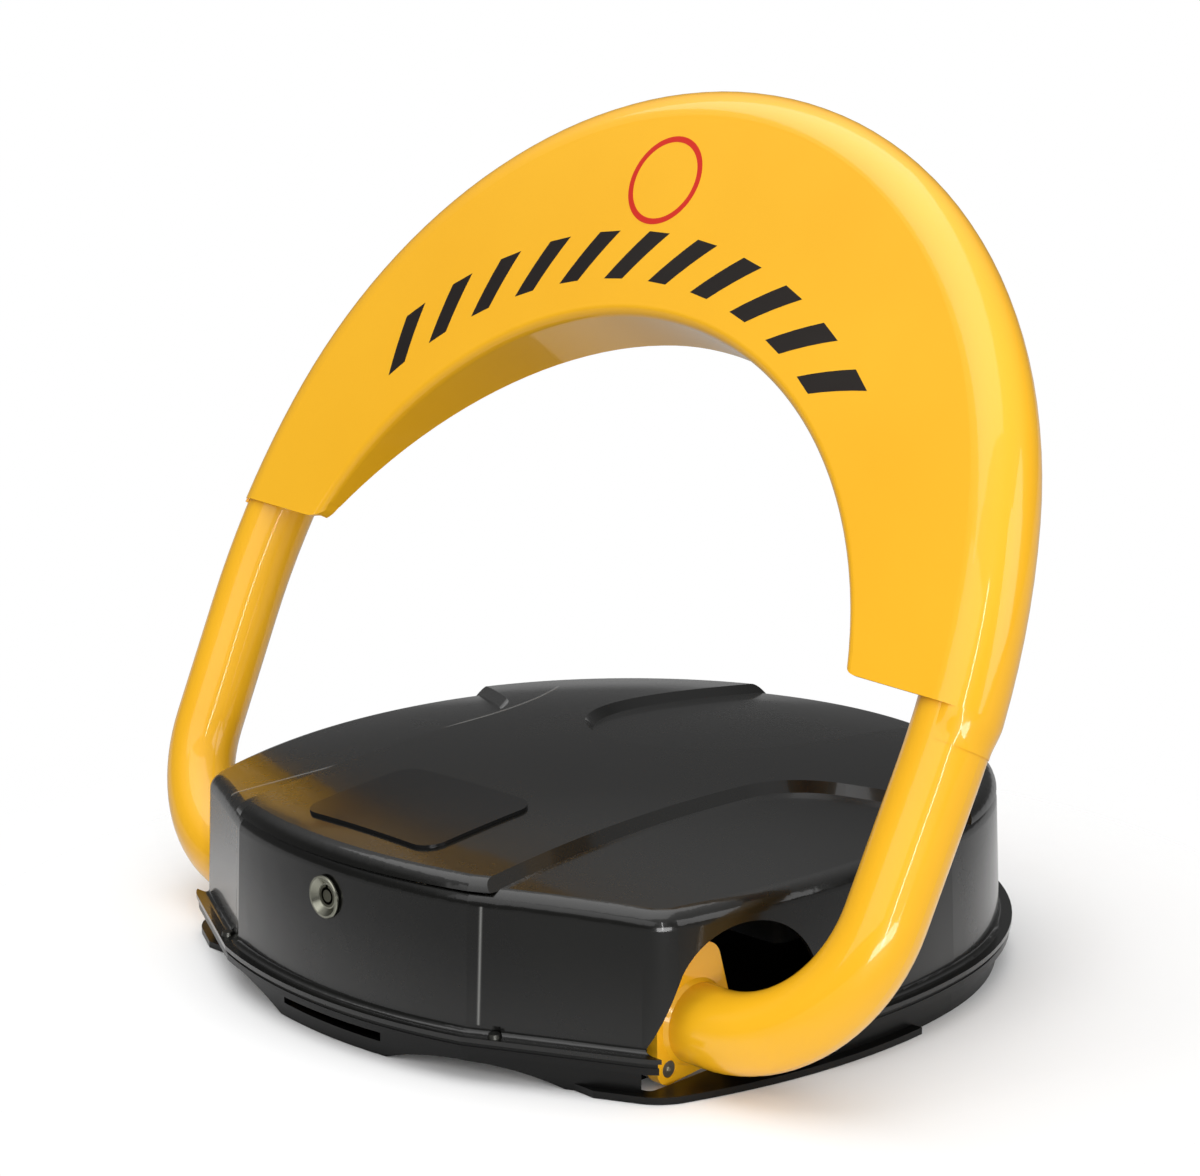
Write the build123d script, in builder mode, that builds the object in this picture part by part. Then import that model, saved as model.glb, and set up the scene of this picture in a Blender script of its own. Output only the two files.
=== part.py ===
"""Folding parking lock: a horseshoe arm of bent tube on a low pressed-steel base.

Frame: +Z up, Z = 0 is the ground, X runs along the pivot of the arm, and the
front of the base, with its key lock, faces -Y. Every length is in millimetres.
The arm stands raised, as it is stored here, and folds back round the base.
"""
from build123d import *
from math import acos, asin, atan, cos, degrees, pi, radians, sin, sqrt, tan
import os

os.makedirs("parts", exist_ok=True)

# ---------------------------------------------------------------- driving dimensions
# Base outline, seen from above: the edge of the cover's flange
REAR_RADIUS = 181.0
REAR_CENTRE_Y = 1.0
REAR_END_ANGLE = 10.0
SIDE_RADIUS = 300.0
SIDE_SWEEP = 31.2
CORNER_RADIUS = 28.0
CORNER_SWEEP = 42.2
CREASE_RADIUS = 3.0
FACET_LENGTH = 76.8
FRONT_Y = -190.0

# Cover
COVER_SHEET = 2.0
FLANGE_BOTTOM = 18.0
FLANGE_TOP = 20.0
WALL_INSET = 6.0
WALL_DRAFT = 2.5
RIM_HEIGHT = 86.0
DOME_HEIGHT = 99.0
CRESCENT_DEPTH = 4.5
TOP_EDGE_RADIUS = 8.0
FLANGE_FILLET = 2.5
STAR_FOOT = 80.0
STAR_SLOPE = 40.0
STAR_FRONT_HALF = 85.0
STAR_WAIST_HALF = 101.0
STAR_WAIST_Y = -15.0

# Pivot of the arm and its tube
PIVOT_Y = -106.0
PIVOT_Z = 25.0
ARM_TILT = 63.7
TUBE_RADIUS = 17.0
TUBE_BORE = 14.5
LEG_HALF_WIDTH = 220.0
LEG_LEAN = 3.0
BEND_RADIUS = 66.0
LEG_TOP = 123.0
FLANK_RADIUS = 340.0
FLANK_SWEEP = 18.0

# Pressed shell of the arch, in the arm's own plane
SHELL_GAP = 0.2
SHELL_SHEET = 1.6
SHELL_FOLD = 4.5
SHELL_CORNER = 9.0
ARCH_RADIUS = 184.0
ARCH_CENTRE = 111.0
SHELL_END = 163.0
SHELL_END_TILT = 3.35
FLANGE_DEEP_END = 294.0
FLANGE_DEPTH = 41.0

# Base pan
PAN_SHEET = 3.0
PAN_RIM_TOP = 16.0
PAN_WALL_INSET = 7.0
ARCH_RISE = 7.0
NOTCH_WIDTH = 66.0
LIP_FRONT_Y = -150.0

# Hinge and drive
FLANGE_LOBES = ((24.0, 75.0, 9.5), (22.4, 228.0, 6.8))
HUB_SCREWS = ((24.0, 75.0), (15.8, 160.0), (15.8, 320.0))
WELD_LEG = 1.6
SHAFT_RADIUS = 9.0
BLOCK_INNER_X = 110.0
BLOCK_OUTER_X = 128.0
BUSH_RADIUS = 12.0
STUD_SPREAD = 24.0
SPRING_START_X = 62.0
SPRING_RADIUS = 15.0
SPRING_WIRE = 3.6
SPRING_PITCH = 7.0
SPRING_TURNS = 5
SPRING_LEG = 24.0
COLLAR_INNER_X = 99.5
COLLAR_OUTER_X = 107.6
GEAR_X = 20.0
GEAR_WIDTH = 10.0
GEAR_MODULE = 1.5
SECTOR_TEETH = 48
PINION_TEETH = 12
PRESSURE_ANGLE = 20.0
BACKLASH = 0.16
MESH_ANGLE = 60.0
OUTPUT_SHAFT_RADIUS = 4.0
BRACKET_X = 32.0
BRACKET_SHEET = 4.0
GEARBOX_RADIUS = 18.5
GEARBOX_END_X = 74.0
MOTOR_RADIUS = 16.0
MOTOR_END_X = 118.0
PLATE_INNER_X = 139.5
PLATE_OUTER_X = 145.5
HUB_INNER_X = 132.5
PINION_Y = PIVOT_Y + GEAR_MODULE * (SECTOR_TEETH + PINION_TEETH) / 2 * cos(radians(MESH_ANGLE))
PINION_Z = PIVOT_Z + GEAR_MODULE * (SECTOR_TEETH + PINION_TEETH) / 2 * sin(radians(MESH_ANGLE))

# Side openings of the base, where the arm's tube comes out
OPENING_Y = -94.0
OPENING_Z = 36.0
OPENING_RADIUS = 34.0
OPENING_REAR_Y = -59.0
OPENING_FRONT_Y = -137.0
OPENING_INNER_X = 130.0

# Signal window in the deck
WINDOW_WIDTH = 86.0
WINDOW_LENGTH = 63.0
WINDOW_Y = -129.5
WINDOW_LIP = 3.0
WINDOW_PROUD = 1.5

# Key lock
LOCK_Z = 63.0
LOCK_FACE_Y = -183.8
LOCK_SEAT_Y = -182.7
LOCK_NUT_Y = -179.1
LOCK_BEZEL_RADIUS = 9.5
LOCK_DISH_RADIUS = 8.3
LOCK_DISH_DEPTH = 2.4
LOCK_BARREL_RADIUS = 8.0
LOCK_PLUG_RADIUS = 5.0
LOCK_BARREL_END_Y = -160.0
CAM_REACH = 25.0

# Battery tray, control box and buzzer
TRAY_Y = 74.0
TRAY_WIDTH = 130.0
TRAY_LENGTH = 76.0
TRAY_HEIGHT = 36.0
TRAY_WALL = 2.0
CELL_RADIUS = 16.5
CELL_SPACING = 35.0
BOX_X = -66.0
BOX_Y = -30.0
BOX_WIDTH = 70.0
BOX_LENGTH = 78.0
BOX_HEIGHT = 32.0
BOX_WALL = 2.0
BOX_LID = 3.0
BUZZER_X = -104.0
BUZZER_Y = 50.0

# Fixings
FRONT_SCREW = (91.0, -168.0)
REAR_SCREW_ANGLE = 35.0
ANCHOR_X = 135.0
ANCHOR_FRONT_Y = -30.0
ANCHOR_REAR_Y = 70.0
ANCHOR_HOLE_RADIUS = 6.0
RUNNING_FIT = 0.05

ARM_PLANE = Plane(
    origin=(0, PIVOT_Y, PIVOT_Z),
    x_dir=(1, 0, 0),
    z_dir=(0, -sin(radians(ARM_TILT)), cos(radians(ARM_TILT))),
)


def save(builder, name):
    """Label the finished piece and write it as one STEP file."""
    builder.part.label = name
    export_step(builder.part, f"parts/{name}.step")


def across_x(x, y=PIVOT_Y, z=PIVOT_Z):
    """Plane square to the pivot, at the given X, with local x along +Y and local y up."""
    return Plane(origin=(x, y, z), x_dir=(0, 1, 0), z_dir=(1, 0, 0))


def base_outline(inset):
    """Face of the base seen from above, drawn in from the flange edge by the inset."""
    with BuildSketch(Plane.XY) as outline:
        with BuildLine():
            rear = CenterArc((0, REAR_CENTRE_Y), REAR_RADIUS, 90, REAR_END_ANGLE - 90)
            side = JernArc(rear @ 1, rear % 1, SIDE_RADIUS, -SIDE_SWEEP)
            corner = JernArc(side @ 1, side % 1, CORNER_RADIUS, -CORNER_SWEEP)
            facet = Line(corner @ 1, corner @ 1 + (corner % 1) * FACET_LENGTH)
            crease = facet @ 1
            rise = crease.Y - FRONT_Y
            bulge_radius = (crease.X**2 + rise**2) / (2 * rise)
            half_bulge = degrees(asin(crease.X / bulge_radius))
            CenterArc((0, FRONT_Y + bulge_radius), bulge_radius, half_bulge - 90, -half_bulge)
            mirror(about=Plane.YZ)
        make_face()
        creases = outline.vertices().filter_by(lambda v: v.Y < crease.Y + 1 and abs(abs(v.X) - crease.X) < 1)
        fillet(creases, CREASE_RADIUS)
        if inset:
            offset(amount=-inset, kind=Kind.INTERSECTION, mode=Mode.REPLACE)
    return outline.sketch


def dome_solid(crown, edge):
    """Everything under a shallow spherical crown that meets the height 'edge' at the rim."""
    reach = 240.0
    rim = REAR_RADIUS - WALL_INSET
    radius = (rim**2 + (crown - edge) ** 2) / (2 * (crown - edge))
    drop = radius - sqrt(radius**2 - reach**2)
    mid_drop = radius - sqrt(radius**2 - (reach / 2) ** 2)
    with BuildPart() as dome:
        with BuildSketch(Plane.XZ):
            with BuildLine():
                Line((0, 0), (0, crown))
                ThreePointArc((0, crown), (reach / 2, crown - mid_drop), (reach, crown - drop))
                Line((reach, crown - drop), (reach, 0))
                Line((reach, 0), (0, 0))
            make_face()
        revolve(axis=Axis.Z)
    return dome.part


def star_face(shrink):
    """Outline of the raised star: a front arm and two rear arms between three crescents."""
    front_half = STAR_FRONT_HALF - shrink
    waist_half = STAR_WAIST_HALF - shrink
    tip = 9 - shrink
    shoulder, flare, root = 29 + shrink, 49 + shrink, 106 + shrink
    with BuildSketch(Plane.XY) as star:
        Circle(230)
        for hand in (1, -1):
            with BuildSketch(mode=Mode.PRIVATE) as side_crescent:
                with BuildLine():
                    ridge = Line((hand * front_half, FRONT_Y + 18), (hand * waist_half, STAR_WAIST_Y))
                    sweep_out = JernArc(ridge @ 1, ridge % 1, 46, -48 * hand)
                    run_out = Line(sweep_out @ 1, sweep_out @ 1 + (sweep_out % 1) * 150)
                    Polyline(run_out @ 1, (hand * 300, -260), (hand * front_half, -260), ridge @ 0)
                make_face()
            add(side_crescent.sketch, mode=Mode.SUBTRACT)
        with BuildSketch(mode=Mode.PRIVATE) as rear_crescent:
            with BuildLine():
                edge = Spline(
                    (-root, 205), (-flare, 80), (-shoulder, 22), (0, tip), (shoulder, 22), (flare, 80), (root, 205)
                )
                Line(edge @ 1, edge @ 0)
            make_face()
        add(rear_crescent.sketch, mode=Mode.SUBTRACT)
    return star.sketch


def star_block(sheet):
    """Block with sloping sides that cuts the star out of the upper dome."""
    with BuildPart() as block:
        with BuildSketch(Plane.XY.offset(STAR_FOOT - sheet)):
            add(star_face(0.45 * sheet).faces().sort_by(SortBy.AREA)[-1])
        extrude(amount=30, taper=STAR_SLOPE)
    return block.part


def cover_block(inset, crown, edge, edge_radius):
    """Drafted and domed block of the cover, with its top edge rounded."""
    draft = (crown - FLANGE_BOTTOM) * tan(radians(WALL_DRAFT))
    with BuildPart() as block:
        with BuildSketch(Plane.XY.offset(FLANGE_BOTTOM - 1)):
            add(base_outline(inset))
        with BuildSketch(Plane.XY.offset(crown + 1)):
            add(base_outline(inset + draft))
        loft(ruled=True)
        add(dome_solid(crown, edge), mode=Mode.INTERSECT)
        if edge_radius:
            rim = block.edges().filter_by(lambda e: e.center().Z > edge - 8 and abs((e @ 0).Z - (e @ 1).Z) < 6)
            fillet(rim, edge_radius)
    return block.part


def cover_form(sheet):
    """Solid form of the cover, a raised star on a lower dome; 'sheet' draws it in for the hollow."""
    with BuildPart() as form:
        add(cover_block(WALL_INSET + sheet, DOME_HEIGHT - sheet, RIM_HEIGHT - sheet, TOP_EDGE_RADIUS - sheet))
        add(star_block(sheet), mode=Mode.INTERSECT)
        low_crown = DOME_HEIGHT - CRESCENT_DEPTH - sheet
        low_rim = RIM_HEIGHT - CRESCENT_DEPTH - sheet
        add(cover_block(WALL_INSET + sheet, low_crown, low_rim, TOP_EDGE_RADIUS - sheet))
    return form.part


def facing_front(y, x=0.0, z=LOCK_Z):
    """Plane that looks out of the front of the base, with local x along +X and local y up."""
    return Plane(origin=(x, y, z), x_dir=(1, 0, 0), z_dir=(0, -1, 0))


def side_openings():
    """Cutter of the two side openings: round at the top, and slanted down to a foot at the front."""
    with BuildPart() as cutter:
        with BuildSketch(Plane.YZ.offset(OPENING_INNER_X)):
            with BuildLine():
                crown = CenterArc((OPENING_Y, OPENING_Z), OPENING_RADIUS, 0, 152)
                foot_top = (OPENING_FRONT_Y, FLANGE_TOP + 1)
                front_foot = (OPENING_FRONT_Y, PAN_SHEET)
                rear_foot = (OPENING_REAR_Y, PAN_SHEET)
                Polyline(crown @ 1, foot_top, front_foot, rear_foot, crown @ 0)
            make_face()
        extrude(amount=80)
        mirror(about=Plane.YZ)
    return cutter.part


def window_outline(width, length, radius):
    """Rounded rectangle of the signal window, seen from above."""
    with BuildSketch(Plane.XY.offset(60)) as outline:
        with Locations((0, WINDOW_Y)):
            RectangleRounded(width, length, radius)
    return outline.sketch


def rear_screw_places():
    """Centres of the two rear cover screws."""
    reach = REAR_RADIUS - 3
    side, back = sin(radians(REAR_SCREW_ANGLE)) * reach, cos(radians(REAR_SCREW_ANGLE)) * reach
    return [(side, REAR_CENTRE_Y + back), (-side, REAR_CENTRE_Y + back)]


COVER_SCREW_PLACES = [FRONT_SCREW, (-FRONT_SCREW[0], FRONT_SCREW[1])] + rear_screw_places()
SIDES = (("left", -1), ("right", 1))


def ground_arches():
    """Cutter of the arches along the foot of the wall, and of the drain notch at the front."""
    with BuildPart() as cutter:
        for plane, inner, outer in ((Plane.XZ.offset(120), 36, 116), (Plane.XZ.offset(-200), 18, 98)):
            with BuildSketch(plane):
                for hand in (1, -1):
                    with BuildLine():
                        ThreePointArc((hand * inner, 0), (hand * (inner + outer) / 2, ARCH_RISE), (hand * outer, 0))
                        Line((hand * outer, 0), (hand * inner, 0))
                    make_face()
            extrude(amount=80)
        with BuildSketch(Plane.XZ.offset(120)):
            with Locations((0, PAN_SHEET / 2 + PAN_RIM_TOP / 2)):
                Rectangle(NOTCH_WIDTH, PAN_RIM_TOP - 3 * PAN_SHEET)
        extrude(amount=80)
        with BuildSketch(Plane.XY.offset(-5)):
            add(base_outline(0))
            add(base_outline(PAN_WALL_INSET + 16), mode=Mode.SUBTRACT)
        extrude(amount=30, mode=Mode.INTERSECT)
    return cutter.part


# ---------------------------------------------------------------- base pan
# Pressed floor with a standing wall and a flat rim under the cover's flange.
# The wall is arched along the ground, and the floor runs out under the tube ends.
with BuildPart() as base_pan:
    with BuildSketch(Plane.XY):
        add(base_outline(PAN_WALL_INSET))
    extrude(amount=PAN_RIM_TOP)
    with BuildSketch(Plane.XY.offset(PAN_RIM_TOP - PAN_SHEET)):
        add(base_outline(1.0))
    extrude(amount=PAN_SHEET)
    with BuildSketch(Plane.XY.offset(PAN_SHEET)):
        add(base_outline(PAN_WALL_INSET + PAN_SHEET))
    extrude(amount=PAN_RIM_TOP, mode=Mode.SUBTRACT)
    with BuildSketch(Plane.XY):
        with Locations((-151, LIP_FRONT_Y / 2), (151, LIP_FRONT_Y / 2)):
            Rectangle(78, -LIP_FRONT_Y)
        add(base_outline(2.0), mode=Mode.INTERSECT)
    extrude(amount=PAN_SHEET)
    add(side_openings(), mode=Mode.SUBTRACT)
    add(ground_arches(), mode=Mode.SUBTRACT)
    # slots under the flange plates, anchor holes and screw holes
    with BuildSketch(Plane.XY):
        with Locations((-PLATE_INNER_X, PIVOT_Y - 2), (PLATE_INNER_X, PIVOT_Y - 2)):
            RectangleRounded(17, 54, 4)
        for x in (-ANCHOR_X, ANCHOR_X):
            with Locations((x, ANCHOR_FRONT_Y), (x, ANCHOR_REAR_Y)):
                Circle(ANCHOR_HOLE_RADIUS)
    extrude(amount=PAN_SHEET, mode=Mode.SUBTRACT)
    with BuildSketch(Plane.XY.offset(PAN_RIM_TOP)):
        with Locations(*COVER_SCREW_PLACES):
            Circle(1.5)
    extrude(amount=-PAN_SHEET, mode=Mode.SUBTRACT)
save(base_pan, "base_pan")

# ---------------------------------------------------------------- cover and its gasket
with BuildPart() as cover_gasket:
    with BuildSketch(Plane.XY.offset(PAN_RIM_TOP)):
        add(base_outline(1.5))
        add(base_outline(WALL_INSET + COVER_SHEET), mode=Mode.SUBTRACT)
        with Locations(*COVER_SCREW_PLACES):
            Circle(1.7, mode=Mode.SUBTRACT)
    extrude(amount=FLANGE_BOTTOM - PAN_RIM_TOP)
    add(side_openings(), mode=Mode.SUBTRACT)
save(cover_gasket, "cover_gasket")

# Pressed sheet: star and crescents in the deck, drafted wall, flat flange all round
with BuildPart() as top_cover:
    add(cover_form(0))
    with BuildSketch(Plane.XY.offset(FLANGE_BOTTOM)):
        add(base_outline(0))
    extrude(amount=FLANGE_TOP - FLANGE_BOTTOM)
    flange_faces = top_cover.faces().filter_by(Axis.Z).filter_by_position(Axis.Z, FLANGE_TOP - 0.1, FLANGE_TOP + 0.1)
    fillet(flange_faces[0].inner_wires()[0].edges(), FLANGE_FILLET)
    add(cover_form(COVER_SHEET), mode=Mode.SUBTRACT)
    split(bisect_by=Plane.XY.offset(FLANGE_BOTTOM))
    add(side_openings(), mode=Mode.SUBTRACT)
    with BuildSketch(facing_front(LOCK_SEAT_Y)):
        Circle(LOCK_BARREL_RADIUS + 0.1)
    extrude(amount=-20, mode=Mode.SUBTRACT)
    window_hole = window_outline(WINDOW_WIDTH - 2 * WINDOW_LIP, WINDOW_LENGTH - 2 * WINDOW_LIP, 7)
    add(extrude(window_hole, amount=50), mode=Mode.SUBTRACT)
    with BuildSketch(Plane.XY.offset(FLANGE_BOTTOM)):
        with Locations(*COVER_SCREW_PLACES):
            Circle(1.7)
    extrude(amount=COVER_SHEET, mode=Mode.SUBTRACT)
    # spot faces where the screw heads sit in the bend of the flange
    with BuildSketch(Plane.XY.offset(FLANGE_TOP)):
        with Locations(*COVER_SCREW_PLACES):
            Circle(3.2)
    extrude(amount=4, mode=Mode.SUBTRACT)
save(top_cover, "top_cover")

# Moulded window over the aerial and the lamp, dropped through the deck with a lip round it
with BuildPart() as signal_window:
    add(extrude(window_outline(WINDOW_WIDTH, WINDOW_LENGTH, 10), amount=50))
    add(dome_solid(DOME_HEIGHT, RIM_HEIGHT), mode=Mode.SUBTRACT)
    plug_outline = window_outline(WINDOW_WIDTH - 2 * WINDOW_LIP - 0.4, WINDOW_LENGTH - 2 * WINDOW_LIP - 0.4, 6.8)
    add(extrude(plug_outline, amount=50))
    add(dome_solid(DOME_HEIGHT + WINDOW_PROUD, RIM_HEIGHT + WINDOW_PROUD), mode=Mode.INTERSECT)
    add(dome_solid(DOME_HEIGHT - 4, RIM_HEIGHT - 4), mode=Mode.SUBTRACT)
save(signal_window, "signal_window")

# Pan-head screws through the flange into the rim of the pan
with BuildPart() as cover_screws:
    with BuildSketch(Plane.XY.offset(PAN_RIM_TOP - PAN_SHEET)):
        with Locations(*COVER_SCREW_PLACES):
            Circle(1.5)
    extrude(amount=FLANGE_TOP - PAN_RIM_TOP + PAN_SHEET)
    with BuildSketch(Plane.XY.offset(FLANGE_TOP)):
        with Locations(*COVER_SCREW_PLACES):
            Circle(2.8)
    extrude(amount=1.9, taper=12)
save(cover_screws, "cover_screws")

# ---------------------------------------------------------------- arm
FLANK_START = (LEG_HALF_WIDTH + LEG_TOP * tan(radians(LEG_LEAN)), LEG_TOP)
FLANK_CENTRE = (
    FLANK_START[0] - FLANK_RADIUS * cos(radians(LEG_LEAN)),
    FLANK_START[1] + FLANK_RADIUS * sin(radians(LEG_LEAN)),
)


def arch_line():
    """Centre line of the tube over the arch, from one leg to the other, flat in XY."""
    with BuildLine() as arch:
        flank = JernArc(FLANK_START, (sin(radians(LEG_LEAN)), cos(radians(LEG_LEAN))), FLANK_RADIUS, FLANK_SWEEP)
        crown_start = FLANK_SWEEP - LEG_LEAN
        crown_radius = (flank @ 1).X / cos(radians(crown_start))
        crown_centre = (0, (flank @ 1).Y - crown_radius * sin(radians(crown_start)))
        CenterArc(crown_centre, crown_radius, crown_start, 90 - crown_start)
        mirror(about=Plane.YZ)
    return arch.line


def tube_line():
    """Centre line of the whole tube: stub, bend and leg on each side of the arch, flat in XY."""
    with BuildLine() as tube:
        bend_reach = BEND_RADIUS * tan(radians(90 - LEG_LEAN) / 2)
        stub = Line((PLATE_OUTER_X, 0), (LEG_HALF_WIDTH - bend_reach, 0))
        bend = JernArc(stub @ 1, stub % 1, BEND_RADIUS, 90 - LEG_LEAN)
        Line(bend @ 1, FLANK_START)
        mirror(about=Plane.YZ)
        add(arch_line())
    return tube.line


def in_arm(x=0.0, y=0.0, z=0.0, z_dir=(0, 0, 1)):
    """Plane stated in the arm's own frame: x along the pivot, y up the arm, z out of its front."""
    return Plane(ARM_PLANE.location * Plane(origin=(x, y, z), x_dir=(1, 0, 0), z_dir=z_dir).location)


def placed_wire(line):
    """One wire of a flat line, carried over to the plane of the arm."""
    return ARM_PLANE.location * Wire(line.edges())


def section_plane(path):
    """Plane across the start of a path, with local x out of the arch and local y to its rear."""
    along = path % 0
    return Plane(origin=path @ 0, x_dir=along.cross(ARM_PLANE.z_dir), z_dir=along)


# Bent steel tube, in one piece from flange plate to flange plate
with BuildPart() as arm_tube:
    tube_path = placed_wire(tube_line())
    with BuildSketch(section_plane(tube_path)):
        Circle(TUBE_RADIUS)
        Circle(TUBE_BORE, mode=Mode.SUBTRACT)
    sweep(path=tube_path)
save(arm_tube, "arm_tube")

def shell_end_point(x):
    """Point at a given X on the line where the shell ends, in the arm's own frame."""
    return Vector(x, SHELL_END - x * tan(radians(SHELL_END_TILT)))


def shell_end_plane(drop=0.0):
    """Plane across both ends of the shell."""
    tilt = radians(SHELL_END_TILT)
    return in_arm(0, SHELL_END - drop, 0, (sin(tilt), cos(tilt), 0))


def corner_tip(hand):
    """What is cut off one inner lower corner of the shell to round it, flat in XY."""
    tilt = radians(SHELL_END_TILT)
    rise = SHELL_END - ARCH_CENTRE
    reach = rise * sin(tilt) + hand * sqrt(ARCH_RADIUS**2 - (rise * cos(tilt)) ** 2)
    corner = shell_end_point(reach * cos(tilt))
    upward = Vector(ARCH_CENTRE - corner.Y, corner.X) * (hand / ARCH_RADIUS)
    outward = Vector(cos(tilt), -sin(tilt)) * hand
    with BuildSketch(Plane.XY) as sheet_side:
        Polygon(corner, corner + upward * 60, corner + outward * 60, align=None)
        fillet(sheet_side.vertices().sort_by_distance(corner)[0], SHELL_CORNER)
    with BuildSketch(Plane.XY) as tip:
        with Locations(corner):
            Circle(SHELL_CORNER + 1)
        add(sheet_side.sketch, mode=Mode.SUBTRACT)
    return tip.sketch


# Pressed shell over the arch: folded flange, front plate and the rim that hugs the tube
with BuildPart() as arm_shell:
    shell_face = TUBE_RADIUS + SHELL_GAP
    shell_front = shell_face + SHELL_SHEET
    # the folded flange, turned round the middle of the arch and cut to taper towards its ends
    with BuildSketch(in_arm(0, ARCH_CENTRE, 0, (0, -1, 0))):
        with BuildLine():
            bottom = shell_front - FLANGE_DEPTH
            skin_end = (ARCH_RADIUS + SHELL_FOLD + 4, shell_front)
            bend_start = (ARCH_RADIUS + SHELL_FOLD, shell_front)
            Line(skin_end, bend_start)
            outer_bend = CenterArc((bend_start[0], shell_front - SHELL_FOLD), SHELL_FOLD, 90, 90)
            Line(outer_bend @ 1, (ARCH_RADIUS, bottom))
            Line((ARCH_RADIUS, bottom), (ARCH_RADIUS + SHELL_SHEET, bottom))
            Line((ARCH_RADIUS + SHELL_SHEET, bottom), (ARCH_RADIUS + SHELL_SHEET, shell_front - SHELL_FOLD))
            CenterArc((bend_start[0], shell_front - SHELL_FOLD), SHELL_FOLD - SHELL_SHEET, 180, -90)
            Polyline((bend_start[0], shell_face), (skin_end[0], shell_face), skin_end)
        make_face()
    revolve(axis=Axis(in_arm(0, ARCH_CENTRE, 0).origin, ARM_PLANE.z_dir))
    flange_run = FLANGE_DEEP_END - SHELL_END
    taper_start = in_arm(0, SHELL_END, shell_front - SHELL_FOLD, (0, FLANGE_DEPTH - SHELL_FOLD, flange_run))
    split(bisect_by=taper_start, keep=Keep.TOP)
    with BuildSketch(ARM_PLANE.offset(shell_face)):
        with BuildLine():
            add(tube_line())
            Line((-PLATE_OUTER_X, 0), (PLATE_OUTER_X, 0))
        make_face()
        with Locations((0, ARCH_CENTRE)):
            Circle(ARCH_RADIUS + SHELL_FOLD + 2, mode=Mode.SUBTRACT)
        with Locations((0, SHELL_END - 230)):
            Rectangle(600, 400, mode=Mode.SUBTRACT)
    extrude(amount=SHELL_SHEET)
    arch_path = placed_wire(arch_line())
    with BuildSketch(section_plane(arch_path)):
        with BuildLine():
            inner = CenterArc((0, 0), shell_face, -90, 165)
            outer = CenterArc((0, 0), shell_front, -90, 165)
            Line(inner @ 0, outer @ 0)
            Line(inner @ 1, outer @ 1)
        make_face()
    sweep(path=arch_path)
    split(bisect_by=shell_end_plane(), keep=Keep.TOP)
    with BuildSketch(ARM_PLANE.offset(shell_front + 1)):
        add(corner_tip(1))
        add(corner_tip(-1))
    extrude(amount=-20, mode=Mode.SUBTRACT)
save(arm_shell, "arm_shell")

# Fillet welds: round each stub at its flange plate, and at each end of the shell's rim
with BuildPart() as arm_welds:
    with BuildSketch(Plane.XY.offset(PIVOT_Z)):
        with BuildLine():
            root = Vector(PLATE_OUTER_X, PIVOT_Y + TUBE_RADIUS)
            Polyline(root, root + Vector(WELD_LEG, 0), root + Vector(0, WELD_LEG), close=True)
        make_face()
    revolve(axis=Axis((0, PIVOT_Y, PIVOT_Z), (1, 0, 0)))
    mirror(about=Plane.YZ)
save(arm_welds, "arm_welds")

with BuildPart() as shell_welds:
    for side, hand in SIDES:
        end_height = shell_end_point(hand * FLANK_START[0]).Y
        flank_angle = asin((end_height - FLANK_CENTRE[1]) / FLANK_RADIUS)
        tube_x = hand * (FLANK_CENTRE[0] + FLANK_RADIUS * cos(flank_angle))
        tube_run = (-hand * sin(flank_angle), cos(flank_angle), 0)
        bead_start = -60 if hand > 0 else 80
        with BuildSketch(in_arm(tube_x, end_height, 0, tube_run).offset(2)):
            with BuildLine():
                inner = CenterArc((0, 0), TUBE_RADIUS + 0.05, bead_start, 160)
                outer = CenterArc((0, 0), TUBE_RADIUS + 1.4, bead_start, 160)
                Line(inner @ 0, outer @ 0)
                Line(inner @ 1, outer @ 1)
            make_face()
        extrude(amount=-4.5)
    split(bisect_by=shell_end_plane(0.02), keep=Keep.BOTTOM)
save(shell_welds, "shell_welds")

# ---------------------------------------------------------------- hinge of the arm
def lobed_outline(rim, margin):
    """Outline of a flange plate: a round plate drawn out to a lobe round each fixing screw."""
    with BuildSketch(Plane.XY) as outline:
        Circle(rim)
        for reach, angle, radius in FLANGE_LOBES:
            lobe = radius - margin
            turn = degrees(acos((rim - lobe) / reach))
            centre = Vector(reach, 0).rotate(Axis.Z, angle)
            with Locations(centre):
                Circle(lobe)
            Polygon(
                Vector(rim, 0).rotate(Axis.Z, angle + turn),
                Vector(rim, 0).rotate(Axis.Z, angle - turn),
                centre + Vector(lobe, 0).rotate(Axis.Z, angle - turn),
                centre + Vector(lobe, 0).rotate(Axis.Z, angle + turn),
                align=None,
            )
    return outline.sketch


LOWER_LOBE = Vector(FLANGE_LOBES[1][0], 0).rotate(Axis.Z, FLANGE_LOBES[1][1])
HUB_SCREW_PLACES = [Vector(reach, 0).rotate(Axis.Z, angle) for reach, angle in HUB_SCREWS]


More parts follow.
